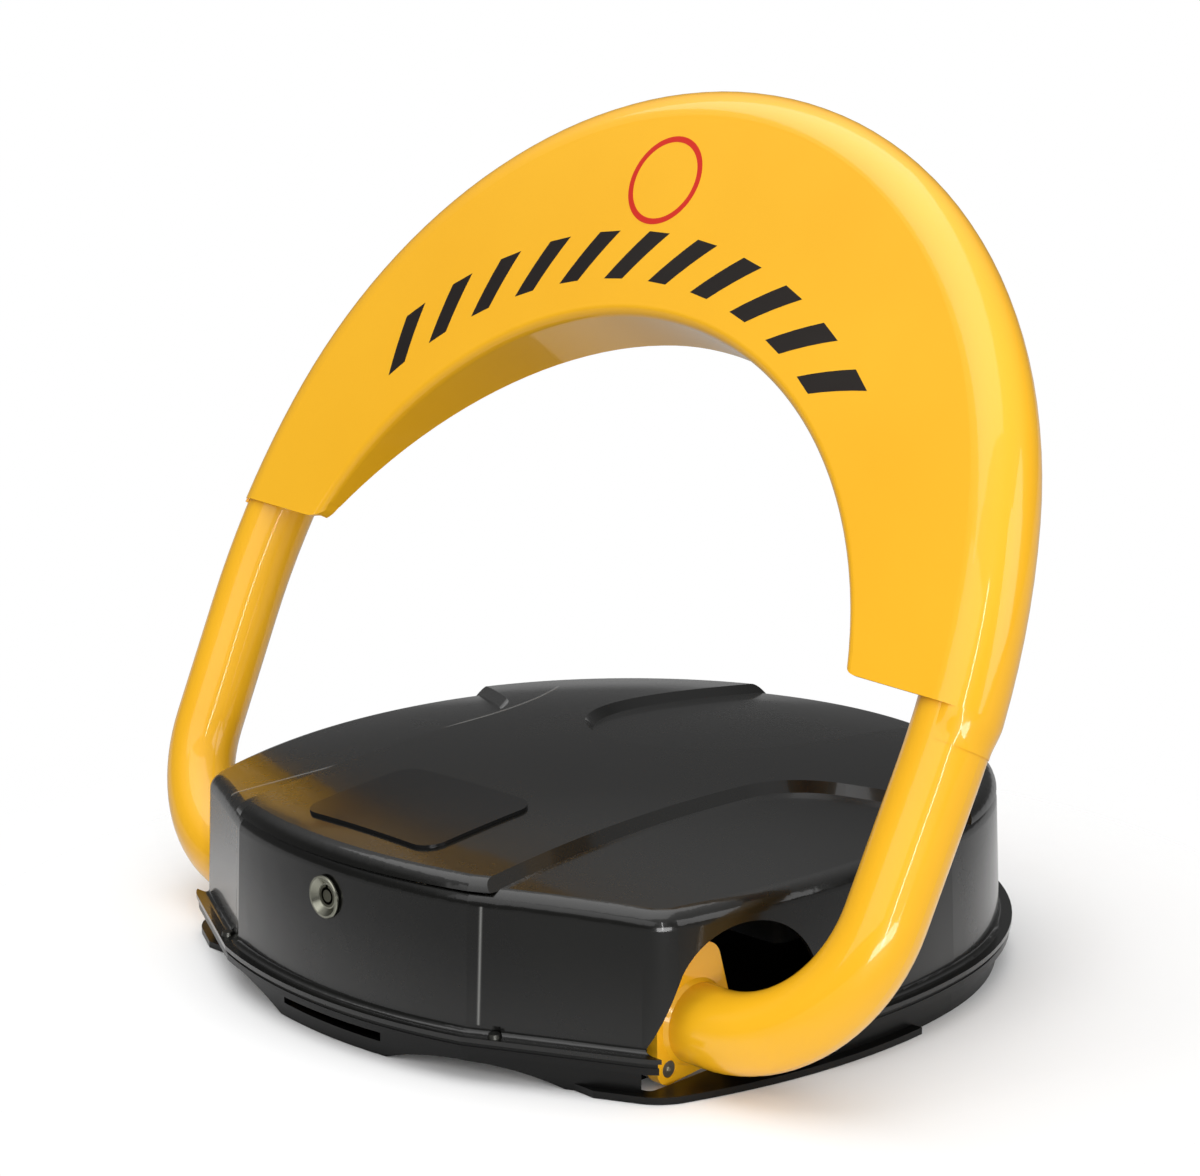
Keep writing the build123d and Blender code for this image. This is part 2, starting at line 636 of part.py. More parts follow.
for side, hand in SIDES:
    # plate welded to the end of the tube
    with BuildPart() as flange_plate:
        with BuildSketch(across_x(hand * PLATE_INNER_X)):
            add(lobed_outline(22, 0))
            with Locations(LOWER_LOBE):
                Circle(2.1, mode=Mode.SUBTRACT)
        extrude(amount=hand * (PLATE_OUTER_X - PLATE_INNER_X))
        with BuildSketch(across_x(hand * (PLATE_OUTER_X - 3))):
            with Locations(LOWER_LOBE):
                Circle(3.7)
        extrude(amount=hand * 3, mode=Mode.SUBTRACT)
        with BuildSketch(across_x(hand * PLATE_INNER_X)):
            with Locations(*HUB_SCREW_PLACES):
                Circle(2.5)
        extrude(amount=hand * 4.5, mode=Mode.SUBTRACT)
    save(flange_plate, f"flange_plate_{side}")

    # matching hub on the end of the shaft
    with BuildPart() as hub:
        with BuildSketch(across_x(hand * HUB_INNER_X)):
            add(lobed_outline(21, 0.8))
            Circle(SHAFT_RADIUS + RUNNING_FIT, mode=Mode.SUBTRACT)
            with Locations(LOWER_LOBE):
                Circle(2.0, mode=Mode.SUBTRACT)
            with Locations(*HUB_SCREW_PLACES):
                Circle(2.6, mode=Mode.SUBTRACT)
        extrude(amount=hand * (PLATE_INNER_X - HUB_INNER_X))
    save(hub, f"hub_disc_{side}")

    # pillow block: foot on two studs, humped body, bore for the bush
    with BuildPart() as block:
        block_x = min(hand * BLOCK_INNER_X, hand * BLOCK_OUTER_X)
        block_length = BLOCK_OUTER_X - BLOCK_INNER_X
        with BuildSketch(across_x(block_x)):
            Circle(18)
            with Locations((0, (PAN_SHEET - PIVOT_Z) / 2)):
                Rectangle(36, PIVOT_Z - PAN_SHEET)
            with Locations((0, PAN_SHEET - PIVOT_Z + 4)):
                Rectangle(60, 8)
            Circle(BUSH_RADIUS, mode=Mode.SUBTRACT)
        extrude(amount=block_length)
        fillet(block.edges().filter_by(Axis.X).group_by(Axis.Z)[1], 2)
        with Locations((block_x + block_length / 2, PIVOT_Y, 0)):
            with GridLocations(0, 2 * STUD_SPREAD, 1, 2):
                Cylinder(3.3, 30, mode=Mode.SUBTRACT)
    save(block, f"bearing_block_{side}")

    # flanged bush of sintered bronze
    with BuildPart() as bush:
        with BuildSketch(across_x(block_x)):
            Circle(BUSH_RADIUS)
            Circle(SHAFT_RADIUS + RUNNING_FIT, mode=Mode.SUBTRACT)
        extrude(amount=block_length)
        with BuildSketch(across_x(hand * BLOCK_INNER_X)):
            Circle(BUSH_RADIUS + 3)
            Circle(SHAFT_RADIUS + RUNNING_FIT, mode=Mode.SUBTRACT)
        extrude(amount=-2 * hand)
    save(bush, f"bearing_bush_{side}")

    # counterbalance torsion spring round the shaft, with a straight leg at each end
    with BuildPart() as spring:
        spring_length = SPRING_TURNS * SPRING_PITCH
        start_x = SPRING_START_X + spring_length if hand > 0 else -SPRING_START_X
        coil = Helix(
            pitch=SPRING_PITCH,
            height=spring_length,
            radius=SPRING_RADIUS,
            center=(start_x, PIVOT_Y, PIVOT_Z),
            direction=(-1, 0, 0),
            mode=Mode.PRIVATE,
        )
        for place, along in ((coil @ 0, (coil % 0) * -1), (coil @ 1, coil % 1)):
            with BuildSketch(Plane(origin=place, z_dir=along)):
                Circle(SPRING_WIRE / 2)
            extrude(amount=SPRING_LEG)
        with BuildSketch(Plane(origin=coil @ 0, z_dir=coil % 0)):
            Circle(SPRING_WIRE / 2)
        sweep(path=coil)
    save(spring, f"spring_{side}")

# Forked blocks welded to the floor that hold the fixed legs of the springs
with BuildPart() as spring_anchors:
    for x in (-SPRING_START_X, SPRING_START_X + SPRING_TURNS * SPRING_PITCH):
        with BuildSketch(Plane.XY.offset(PAN_SHEET)):
            with Locations((x + 1, PIVOT_Y + SPRING_LEG - 3)):
                RectangleRounded(14, 8, 2)
        extrude(amount=11)
        with BuildSketch(Plane.XY.offset(PIVOT_Z - SPRING_RADIUS - SPRING_WIRE / 2 - 0.2)):
            with Locations((x + 1, PIVOT_Y + SPRING_LEG - 3)):
                Rectangle(8, 12)
        extrude(amount=11, mode=Mode.SUBTRACT)
save(spring_anchors, "spring_anchors")

# One screw from outside through the lower lobe, and three from the back of each hub
with BuildPart() as flange_screws:
    for side, hand in SIDES:
        with BuildSketch(across_x(hand * (HUB_INNER_X + 1))):
            with Locations(LOWER_LOBE):
                Circle(2.0)
        extrude(amount=hand * 10)
        with BuildSketch(across_x(hand * (PLATE_OUTER_X - 2.9))):
            with Locations(LOWER_LOBE):
                Circle(3.5)
                RegularPolygon(1.5, 6, mode=Mode.SUBTRACT)
        extrude(amount=hand * 2.7)
        with BuildSketch(across_x(hand * HUB_INNER_X)):
            with Locations(*HUB_SCREW_PLACES):
                Circle(2.5)
        extrude(amount=hand * 11)
        with BuildSketch(across_x(hand * HUB_INNER_X)):
            with Locations(*HUB_SCREW_PLACES):
                Circle(4.2)
        extrude(amount=hand * -2.5)
save(flange_screws, "flange_screws")

# ---------------------------------------------------------------- shaft and drive
# Round shaft from hub to hub, turning in the two bushes
with BuildPart() as main_shaft:
    with BuildSketch(across_x(-PLATE_INNER_X + 0.5)):
        Circle(SHAFT_RADIUS)
    extrude(amount=2 * PLATE_INNER_X - 1)
    chamfer(main_shaft.edges().filter_by(GeomType.CIRCLE), 0.8)
save(main_shaft, "main_shaft")

with BuildPart() as shaft_collars:
    for side, hand in SIDES:
        with BuildSketch(across_x(hand * COLLAR_INNER_X)):
            Circle(15)
            Circle(SHAFT_RADIUS + RUNNING_FIT, mode=Mode.SUBTRACT)
        extrude(amount=hand * (COLLAR_OUTER_X - COLLAR_INNER_X))
    collar_middle = (COLLAR_INNER_X + COLLAR_OUTER_X) / 2
    with BuildSketch(Plane.XY.offset(PIVOT_Z)):
        with Locations((-collar_middle, PIVOT_Y), (collar_middle, PIVOT_Y)):
            Circle(2.2)
    extrude(amount=20, mode=Mode.SUBTRACT)
save(shaft_collars, "shaft_collars")


def gear_tooth(teeth, tip_radius, root_radius):
    """Involute tooth on the local x axis, drawn from inside the root circle to the tip."""
    pitch_radius = GEAR_MODULE * teeth / 2
    base_radius = pitch_radius * cos(radians(PRESSURE_ANGLE))

    def unwind(radius):
        """Polar angle of the involute at a radius, in radians."""
        roll = sqrt(max((radius / base_radius) ** 2 - 1, 0))
        return roll - atan(roll)

    half_tooth = pi / (2 * teeth) - BACKLASH / (2 * pitch_radius) + unwind(pitch_radius)
    start = max(base_radius, root_radius)
    flank = []
    for step in range(5):
        radius = start + (tip_radius - start) * step / 4
        angle = half_tooth - unwind(radius)
        flank.append((radius * cos(angle), radius * sin(angle)))
    inner = root_radius - 0.4
    root_point = (inner * cos(half_tooth), inner * sin(half_tooth))
    with BuildSketch(Plane.XY) as tooth:
        with BuildLine():
            Line(root_point, flank[0])
            Spline(*flank)
            Line(flank[-1], (flank[-1][0], 0))
            mirror(about=Plane.XZ)
            Line(root_point, (root_point[0], -root_point[1]))
        make_face()
    return tooth.sketch


def sector_outline():
    """Sector wheel: hub, two spokes round a lightening hole, and the toothed rim."""
    tip = GEAR_MODULE * SECTOR_TEETH / 2 + 1.2
    root = GEAR_MODULE * SECTOR_TEETH / 2 - 1.95
    pitch = 360 / SECTOR_TEETH
    with BuildSketch(Plane.XY) as outline:
        with BuildLine():
            rim = CenterArc((0, 0), root, MESH_ANGLE - 1.5 * pitch, 11 * pitch)
            Polyline(rim @ 1, (0, 0), rim @ 0)
        make_face()
        for step in range(-1, 10):
            add(gear_tooth(SECTOR_TEETH, tip, root), rotation=MESH_ANGLE + step * pitch)
        Circle(SHAFT_RADIUS + 6)
        middle = MESH_ANGLE + 4 * pitch
        with PolarLocations(24.5, 3, middle - 24, 48):
            Circle(4, mode=Mode.SUBTRACT)
        Circle(SHAFT_RADIUS + RUNNING_FIT, mode=Mode.SUBTRACT)
    return outline.sketch


def pinion_outline():
    """Twelve-tooth pinion with a tooth space towards the sector wheel."""
    tip = GEAR_MODULE * PINION_TEETH / 2 + 1.2
    root = GEAR_MODULE * PINION_TEETH / 2 - 1.95
    with BuildSketch(Plane.XY) as outline:
        Circle(root)
        for step in range(PINION_TEETH):
            turn = MESH_ANGLE + 180 + (step + 0.5) * 360 / PINION_TEETH
            add(gear_tooth(PINION_TEETH, tip, root), rotation=turn)
    return outline.sketch


with BuildPart() as sector_gear:
    with BuildSketch(across_x(GEAR_X)):
        add(sector_outline())
    extrude(amount=GEAR_WIDTH)
save(sector_gear, "sector_gear")

with BuildPart() as drive_pinion:
    with BuildSketch(across_x(GEAR_X - 0.5, PINION_Y, PINION_Z)):
        add(pinion_outline())
    extrude(amount=GEAR_WIDTH + 1)
    with BuildSketch(across_x(GEAR_X - 6, PINION_Y, PINION_Z)):
        Circle(OUTPUT_SHAFT_RADIUS)
    extrude(amount=BRACKET_X + BRACKET_SHEET + 10 - GEAR_X + 6)
save(drive_pinion, "drive_pinion")

# Planetary gearbox in a round housing, with a pilot boss in the bracket
with BuildPart() as gearbox_housing:
    with BuildSketch(across_x(BRACKET_X + BRACKET_SHEET, PINION_Y, PINION_Z)):
        Circle(GEARBOX_RADIUS)
    extrude(amount=GEARBOX_END_X - BRACKET_X - BRACKET_SHEET)
    with BuildSketch(across_x(BRACKET_X + BRACKET_SHEET + 12, PINION_Y, PINION_Z)):
        Circle(GEARBOX_RADIUS + 1)
        Circle(GEARBOX_RADIUS - 0.8, mode=Mode.SUBTRACT)
    extrude(amount=1.6, mode=Mode.SUBTRACT)
    with BuildSketch(across_x(BRACKET_X + 0.5, PINION_Y, PINION_Z)):
        Circle(8)
    extrude(amount=BRACKET_SHEET)
    with BuildSketch(across_x(BRACKET_X, PINION_Y, PINION_Z)):
        Circle(OUTPUT_SHAFT_RADIUS + RUNNING_FIT)
        with PolarLocations(13.5, 4, 45):
            Circle(1.5)
    extrude(amount=BRACKET_SHEET + 11, mode=Mode.SUBTRACT)
save(gearbox_housing, "gearbox_housing")

with BuildPart() as motor_can:
    with BuildSketch(across_x(GEARBOX_END_X, PINION_Y, PINION_Z)):
        Circle(MOTOR_RADIUS)
    extrude(amount=MOTOR_END_X - GEARBOX_END_X)
    fillet(motor_can.edges().filter_by(GeomType.CIRCLE).sort_by(Axis.X)[-1], 2)
    with BuildSketch(across_x(MOTOR_END_X, PINION_Y, PINION_Z)):
        Circle(5)
        with Locations((0, 10), (0, -10)):
            Rectangle(4, 1)
    extrude(amount=3)
save(motor_can, "motor_can")

# Angle plate that carries the gearbox beside the sector wheel
with BuildPart() as motor_bracket:
    with BuildSketch(across_x(BRACKET_X, PINION_Y + 11.5, 0)):
        with Locations((0, 44)):
            RectangleRounded(44, 82, 6)
        with Locations((0, 8)):
            Rectangle(44, 10)
        with Locations((-11.5, PINION_Z)):
            Circle(8.1, mode=Mode.SUBTRACT)
            with PolarLocations(13.5, 4, 45):
                Circle(1.7, mode=Mode.SUBTRACT)
    extrude(amount=BRACKET_SHEET)
    with BuildSketch(Plane.XY.offset(PAN_SHEET)):
        with Locations((BRACKET_X + 13, PINION_Y + 11.5)):
            Rectangle(26, 44)
            with GridLocations(0, 26, 1, 2):
                Circle(2.7, mode=Mode.SUBTRACT)
    extrude(amount=BRACKET_SHEET)
    heel = motor_bracket.edges().filter_by(Axis.Y).filter_by_position(Axis.Z, 6.9, 7.1)
    fillet(heel.sort_by(Axis.X)[0], 2.5)
save(motor_bracket, "motor_bracket")

with BuildPart() as gearbox_screws:
    with BuildSketch(across_x(BRACKET_X, PINION_Y, PINION_Z)):
        with PolarLocations(13.5, 4, 45):
            Circle(1.5)
    extrude(amount=BRACKET_SHEET + 8)
    with BuildSketch(across_x(BRACKET_X, PINION_Y, PINION_Z)):
        with PolarLocations(13.5, 4, 45):
            Circle(2.75)
    extrude(amount=-1.5)
save(gearbox_screws, "gearbox_screws")


def stud_places():
    """Centres of the studs welded to the floor, with the height of the foot that each one clamps."""
    block_middle = (BLOCK_INNER_X + BLOCK_OUTER_X) / 2
    places = []
    for side, hand in SIDES:
        for step in (-1, 1):
            places.append((hand * block_middle, PIVOT_Y + step * STUD_SPREAD, 8.0))
    for step in (-1, 1):
        places.append((BRACKET_X + 13, PINION_Y + 11.5 + step * 13, BRACKET_SHEET))
    return places


with BuildPart() as floor_studs:
    for x, y, grip in stud_places():
        with BuildSketch(Plane.XY.offset(PAN_SHEET)):
            with Locations((x, y)):
                Circle(2.5)
        extrude(amount=grip + 7)
save(floor_studs, "floor_studs")

with BuildPart() as stud_nuts:
    for x, y, grip in stud_places():
        with BuildSketch(Plane.XY.offset(PAN_SHEET + grip)):
            with Locations((x, y)):
                RegularPolygon(4, 6, major_radius=False)
                Circle(2.5 + RUNNING_FIT, mode=Mode.SUBTRACT)
        extrude(amount=4)
save(stud_nuts, "stud_nuts")

# Rubber block that the flank of the sector wheel comes down on
with BuildPart() as down_stop:
    with BuildSketch(Plane.XY.offset(PAN_SHEET)):
        with Locations((GEAR_X + GEAR_WIDTH / 2, PIVOT_Y + 30)):
            RectangleRounded(GEAR_WIDTH, 9, 2)
    extrude(amount=12.2)
save(down_stop, "down_stop")

# Disc with a magnet that tells the two reed sensors where the arm is
with BuildPart() as sensor_disc:
    with BuildSketch(across_x(-34)):
        Circle(20)
        Circle(SHAFT_RADIUS + RUNNING_FIT, mode=Mode.SUBTRACT)
        with Locations(Vector(16, 0).rotate(Axis.Z, 70)):
            Circle(2.5, mode=Mode.SUBTRACT)
    extrude(amount=3)
    with BuildSketch(across_x(-31)):
        Circle(13)
        Circle(SHAFT_RADIUS + RUNNING_FIT, mode=Mode.SUBTRACT)
    extrude(amount=6)
save(sensor_disc, "sensor_disc")

with BuildPart() as sensor_bracket:
    with BuildSketch(across_x(-42, PIVOT_Y, 0)):
        with Locations((0, 29)):
            RectangleRounded(48, 52, 8)
        with Locations((0, 10)):
            Rectangle(48, 14)
        with Locations((0, PIVOT_Z)):
            Circle(11, mode=Mode.SUBTRACT)
    extrude(amount=2)
    with BuildSketch(Plane.XY.offset(PAN_SHEET)):
        with Locations((-46, PIVOT_Y)):
            Rectangle(12, 48)
    extrude(amount=2)
save(sensor_bracket, "sensor_bracket")

with BuildPart() as reed_sensors:
    with BuildSketch(across_x(-40)):
        for angle in (70, 70 - ARM_TILT):
            with Locations(Location(Vector(16, 0).rotate(Axis.Z, angle), angle)):
                Rectangle(6, 9)
    extrude(amount=4.5)
save(reed_sensors, "reed_sensors")

# ---------------------------------------------------------------- batteries and electronics
# Open tray for four large round cells in two rows
with BuildPart() as battery_tray:
    with BuildSketch(Plane.XY.offset(PAN_SHEET)):
        with Locations((0, TRAY_Y)):
            RectangleRounded(TRAY_WIDTH, TRAY_LENGTH, 6)
    extrude(amount=TRAY_HEIGHT)
    with BuildSketch(Plane.XY.offset(PAN_SHEET + TRAY_WALL)):
        with Locations((0, TRAY_Y)):
            RectangleRounded(TRAY_WIDTH - 2 * TRAY_WALL, TRAY_LENGTH - 2 * TRAY_WALL, 4)
    extrude(amount=TRAY_HEIGHT, mode=Mode.SUBTRACT)
    # finger scallops in the long walls
    with BuildSketch(Plane.XZ.offset(-(TRAY_Y - TRAY_LENGTH / 2) + 1)):
        with Locations((-32, PAN_SHEET + TRAY_HEIGHT), (32, PAN_SHEET + TRAY_HEIGHT)):
            Circle(12)
    extrude(amount=-TRAY_LENGTH - 2, mode=Mode.SUBTRACT)
    # rib between the rows
    with BuildSketch(Plane.XY.offset(PAN_SHEET)):
        with Locations((0, TRAY_Y)):
            Rectangle(TRAY_WIDTH - 2 * TRAY_WALL, 1.6)
    extrude(amount=8)
save(battery_tray, "battery_tray")

with BuildPart() as battery_cells:
    for row in (-1, 1):
        cell_y = TRAY_Y + row * CELL_SPACING / 2
        for start in (-61.5, 0.5):
            with BuildSketch(Plane.YZ.offset(start)):
                with Locations((cell_y, PAN_SHEET + TRAY_WALL + CELL_RADIUS)):
                    Circle(CELL_RADIUS)
            extrude(amount=59)
            with BuildSketch(Plane.YZ.offset(start + 59)):
                with Locations((cell_y, PAN_SHEET + TRAY_WALL + CELL_RADIUS)):
                    Circle(4.75)
            extrude(amount=1.5)
save(battery_cells, "battery_cells")

with BuildPart() as battery_contacts:
    for x in (-TRAY_WIDTH / 2 + TRAY_WALL, TRAY_WIDTH / 2 - TRAY_WALL - 0.6):
        for row in (-1, 1):
            with BuildSketch(Plane.YZ.offset(x)):
                with Locations((TRAY_Y + row * CELL_SPACING / 2, PAN_SHEET + TRAY_WALL + CELL_RADIUS)):
                    RectangleRounded(20, 28, 3)
            extrude(amount=0.6)
save(battery_contacts, "battery_contacts")

# Sheet-metal bridge that holds the cells down, with a foot at each end
with BuildPart() as battery_strap:
    with BuildSketch(Plane.YZ.offset(-9)):
        strap_half = TRAY_LENGTH / 2 + 2.0
        with BuildLine():
            Polyline(
                (TRAY_Y - strap_half - 12, PAN_SHEET + 0.75),
                (TRAY_Y - strap_half, PAN_SHEET + 0.75),
                (TRAY_Y - strap_half, PAN_SHEET + TRAY_HEIGHT + 1.5),
                (TRAY_Y + strap_half, PAN_SHEET + TRAY_HEIGHT + 1.5),
                (TRAY_Y + strap_half, PAN_SHEET + 0.75),
                (TRAY_Y + strap_half + 12, PAN_SHEET + 0.75),
            )
            offset(amount=0.75, side=Side.BOTH)
        make_face()
    extrude(amount=18)
save(battery_strap, "battery_strap")

with BuildPart() as control_box:
    with BuildSketch(Plane.XY.offset(PAN_SHEET)):
        with Locations((BOX_X, BOX_Y)):
            RectangleRounded(BOX_WIDTH, BOX_LENGTH, 5)
    extrude(amount=BOX_HEIGHT)
    with BuildSketch(Plane.XY.offset(PAN_SHEET + BOX_WALL)):
        with Locations((BOX_X, BOX_Y)):
            RectangleRounded(BOX_WIDTH - 2 * BOX_WALL, BOX_LENGTH - 2 * BOX_WALL, 3.5)
    extrude(amount=BOX_HEIGHT, mode=Mode.SUBTRACT)
    with BuildSketch(Plane.XY.offset(PAN_SHEET)):
        with Locations((BOX_X, BOX_Y)):
            with GridLocations(BOX_WIDTH - 11, BOX_LENGTH - 11, 2, 2):
                Circle(4)
    extrude(amount=BOX_HEIGHT)
    with BuildSketch(Plane.XY.offset(PAN_SHEET + BOX_HEIGHT)):
        with Locations((BOX_X, BOX_Y)):
            with GridLocations(BOX_WIDTH - 11, BOX_LENGTH - 11, 2, 2):
                Circle(1.4)
    extrude(amount=-12, mode=Mode.SUBTRACT)
save(control_box, "control_box")

with BuildPart() as control_box_lid:
    with BuildSketch(Plane.XY.offset(PAN_SHEET + BOX_HEIGHT)):
        with Locations((BOX_X, BOX_Y)):
            RectangleRounded(BOX_WIDTH, BOX_LENGTH, 5)
            with GridLocations(BOX_WIDTH - 11, BOX_LENGTH - 11, 2, 2):
                Circle(1.6, mode=Mode.SUBTRACT)
    extrude(amount=BOX_LID)
    fillet(control_box_lid.edges().group_by(Axis.Z)[-1].filter_by(GeomType.LINE), 1)
save(control_box_lid, "control_box_lid")

with BuildPart() as lid_screws:
    with BuildSketch(Plane.XY.offset(PAN_SHEET + BOX_HEIGHT - 8)):
        with Locations((BOX_X, BOX_Y)):
            with GridLocations(BOX_WIDTH - 11, BOX_LENGTH - 11, 2, 2):
                Circle(1.4)
    extrude(amount=8 + BOX_LID)
    with BuildSketch(Plane.XY.offset(PAN_SHEET + BOX_HEIGHT + BOX_LID)):
        with Locations((BOX_X, BOX_Y)):
            with GridLocations(BOX_WIDTH - 11, BOX_LENGTH - 11, 2, 2):
                Circle(2.6)
    extrude(amount=1.6)
save(lid_screws, "lid_screws")

# Circuit board on two ledges of the box, with its relays and chips
with BuildPart() as circuit_board:
    board_z = PAN_SHEET + BOX_WALL + 5
    with BuildSketch(Plane.XY.offset(board_z)):
        with Locations((BOX_X, BOX_Y)):
            Rectangle(BOX_WIDTH - 22, BOX_LENGTH - 6)
    extrude(amount=1.6)
    with BuildSketch(Plane.XY.offset(board_z - 5)):
        with Locations((BOX_X, BOX_Y)):
            with GridLocations(30, 50, 2, 2):
                Circle(2.5)
    extrude(amount=5)
    with BuildSketch(Plane.XY.offset(board_z + 1.6)):
        with Locations((BOX_X - 12, BOX_Y + 22), (BOX_X + 10, BOX_Y + 22)):
            Rectangle(16, 20)
    extrude(amount=14)
    with BuildSketch(Plane.XY.offset(board_z + 1.6)):
        with Locations((BOX_X, BOX_Y - 8)):
            Rectangle(14, 14)
        with Locations((BOX_X - 14, BOX_Y - 26), (BOX_X + 4, BOX_Y - 26)):
            Rectangle(10, 6)
    extrude(amount=2)
save(circuit_board, "circuit_board")

# Helical aerial that stands on the lid under the window
with BuildPart() as aerial_coil:
    aerial_turns = Helix(
        pitch=4,
        height=20,
        radius=4,
        center=(BOX_X + 20, BOX_Y - 20, PAN_SHEET + BOX_HEIGHT + BOX_LID + 6),
        mode=Mode.PRIVATE,
    )
    with BuildSketch(Plane(origin=aerial_turns @ 0, z_dir=aerial_turns % 0)):
        Circle(0.6)
    sweep(path=aerial_turns)
    with BuildSketch(Plane.XY.offset(PAN_SHEET + BOX_HEIGHT + BOX_LID)):
        with Locations((BOX_X + 20, BOX_Y - 20)):
            Circle(5)
    extrude(amount=6)
save(aerial_coil, "aerial_coil")

with BuildPart() as buzzer:
    with BuildSketch(Plane.XY.offset(PAN_SHEET)):
        with Locations((BUZZER_X, BUZZER_Y)):
            Circle(12)
    extrude(amount=10)
    with BuildSketch(Plane.XY.offset(PAN_SHEET + 10)):
        with Locations((BUZZER_X, BUZZER_Y)):
            Circle(2)
    extrude(amount=-6, mode=Mode.SUBTRACT)
save(buzzer, "buzzer")

# ---------------------------------------------------------------- key lock
# Round lock body: a thin bezel on the wall, dished face and a threaded barrel inside
with BuildPart() as lock_body:
    with BuildSketch(facing_front(LOCK_SEAT_Y)):
        Circle(LOCK_BEZEL_RADIUS)
    extrude(amount=LOCK_SEAT_Y - LOCK_FACE_Y)
    chamfer(lock_body.edges().group_by(Axis.Y)[0], 0.4)
    with BuildSketch(facing_front(LOCK_SEAT_Y)):
        Circle(LOCK_BARREL_RADIUS)
    extrude(amount=-(LOCK_BARREL_END_Y - LOCK_SEAT_Y))
    with BuildSketch(facing_front(LOCK_FACE_Y)):
        Circle(LOCK_DISH_RADIUS)
    with BuildSketch(facing_front(LOCK_FACE_Y + LOCK_DISH_DEPTH)):
        Circle(LOCK_PLUG_RADIUS + 0.6)
    loft(mode=Mode.SUBTRACT)
    with BuildSketch(facing_front(LOCK_FACE_Y)):
        Circle(LOCK_PLUG_RADIUS + RUNNING_FIT)
    extrude(amount=-(LOCK_BARREL_END_Y - LOCK_FACE_Y), mode=Mode.SUBTRACT)
save(lock_body, "lock_body")

# Turning plug with an annular key slot and its locating notch
with BuildPart() as lock_plug:
    with BuildSketch(facing_front(LOCK_FACE_Y + LOCK_DISH_DEPTH)):
        Circle(LOCK_PLUG_RADIUS)
    extrude(amount=-(LOCK_BARREL_END_Y + 4 - LOCK_FACE_Y - LOCK_DISH_DEPTH))
    with BuildSketch(facing_front(LOCK_FACE_Y + LOCK_DISH_DEPTH)):
        Circle(3.9)
        Circle(2.7, mode=Mode.SUBTRACT)
        with Locations((0, 4.2)):
            Rectangle(1.6, 1.4)
    extrude(amount=-7, mode=Mode.SUBTRACT)
save(lock_plug, "lock_plug")

# Cam on the back of the plug; locked, it lies under the lip of the keeper
with BuildPart() as lock_cam:
    with BuildSketch(facing_front(LOCK_BARREL_END_Y + 1)):
        with Locations((0, 0)):
            Circle(7)
        with Locations((CAM_REACH / 2, 0)):
            Rectangle(CAM_REACH, 10)
        Circle(LOCK_PLUG_RADIUS + 0.02, mode=Mode.SUBTRACT)
    extrude(amount=-2.5)
save(lock_cam, "lock_cam")

with BuildPart() as lock_nut:
    with BuildSketch(facing_front(LOCK_NUT_Y)):
        RegularPolygon(10.5, 6, major_radius=False)
        Circle(LOCK_BARREL_RADIUS + RUNNING_FIT, mode=Mode.SUBTRACT)
    extrude(amount=-4.5)
save(lock_nut, "lock_nut")

# Bent strip on the floor of the pan whose lip keeps the cam, and so the cover, down
with BuildPart() as lock_keeper:
    with BuildSketch(Plane.XZ.offset(-(LOCK_BARREL_END_Y - 3))):
        with BuildLine():
            Polyline(
                (CAM_REACH + 16, PAN_SHEET + 1.25),
                (CAM_REACH + 4, PAN_SHEET + 1.25),
                (CAM_REACH + 4, LOCK_Z + 7),
                (CAM_REACH - 12, LOCK_Z + 7),
            )
            offset(amount=1.25, side=Side.BOTH)
        make_face()
    extrude(amount=-12)
save(lock_keeper, "lock_keeper")
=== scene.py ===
import math

import bmesh
import bpy
from mathutils import Matrix, Vector


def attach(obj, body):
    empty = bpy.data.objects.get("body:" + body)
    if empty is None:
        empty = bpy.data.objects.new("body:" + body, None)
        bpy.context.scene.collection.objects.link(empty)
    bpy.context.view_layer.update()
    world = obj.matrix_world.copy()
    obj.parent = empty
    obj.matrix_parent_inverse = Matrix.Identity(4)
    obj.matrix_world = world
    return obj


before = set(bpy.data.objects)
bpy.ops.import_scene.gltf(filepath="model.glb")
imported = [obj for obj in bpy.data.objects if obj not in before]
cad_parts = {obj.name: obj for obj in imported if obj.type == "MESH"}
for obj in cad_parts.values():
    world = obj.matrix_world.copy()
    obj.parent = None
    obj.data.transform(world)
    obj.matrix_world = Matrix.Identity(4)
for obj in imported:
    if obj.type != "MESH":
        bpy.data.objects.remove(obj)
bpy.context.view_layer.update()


# ---------------------------------------------------------------- camera
# A long lens stands low off the front right corner of the base, about 1.2 m away, and
# looks down a little. A very small roll keeps the base level in the frame.
camera_place = Vector((0.8734, -0.8689, 0.4259))
camera_yaw = math.radians(45.72)
camera_pitch = math.radians(11.70)
camera_roll = math.radians(-0.303)
camera = bpy.data.objects.new("camera", bpy.data.cameras.new("camera"))
camera.data.lens = 81.0
camera.data.sensor_width = 36.0
camera.data.clip_end = 200.0
camera.matrix_world = (
    Matrix.Translation(camera_place)
    @ Matrix.Rotation(camera_yaw, 4, "Z")
    @ Matrix.Rotation(math.pi / 2 - camera_pitch, 4, "X")
    @ Matrix.Rotation(camera_roll, 4, "Z")
)
bpy.context.collection.objects.link(camera)
bpy.context.scene.camera = camera
bpy.context.scene.view_settings.view_transform = "Standard"


# ---------------------------------------------------------------- studio light
# Wide soft lamps hang overhead, in front and at the right, and a low one lights the inside
# of the arch. A narrow upright strip near the camera draws the thin glint down each tube.
def softbox(name, place, aim, size, watts):
    """Area lamp of the given width and height, turned to face a point."""
    lamp = bpy.data.lights.new(name, "AREA")
    lamp.shape = "RECTANGLE"
    lamp.size, lamp.size_y = size
    lamp.energy = watts
    holder = bpy.data.objects.new(name, lamp)
    holder.location = place
    holder.rotation_euler = (Vector(aim) - Vector(place)).to_track_quat("-Z", "Y").to_euler()
    bpy.context.collection.objects.link(holder)


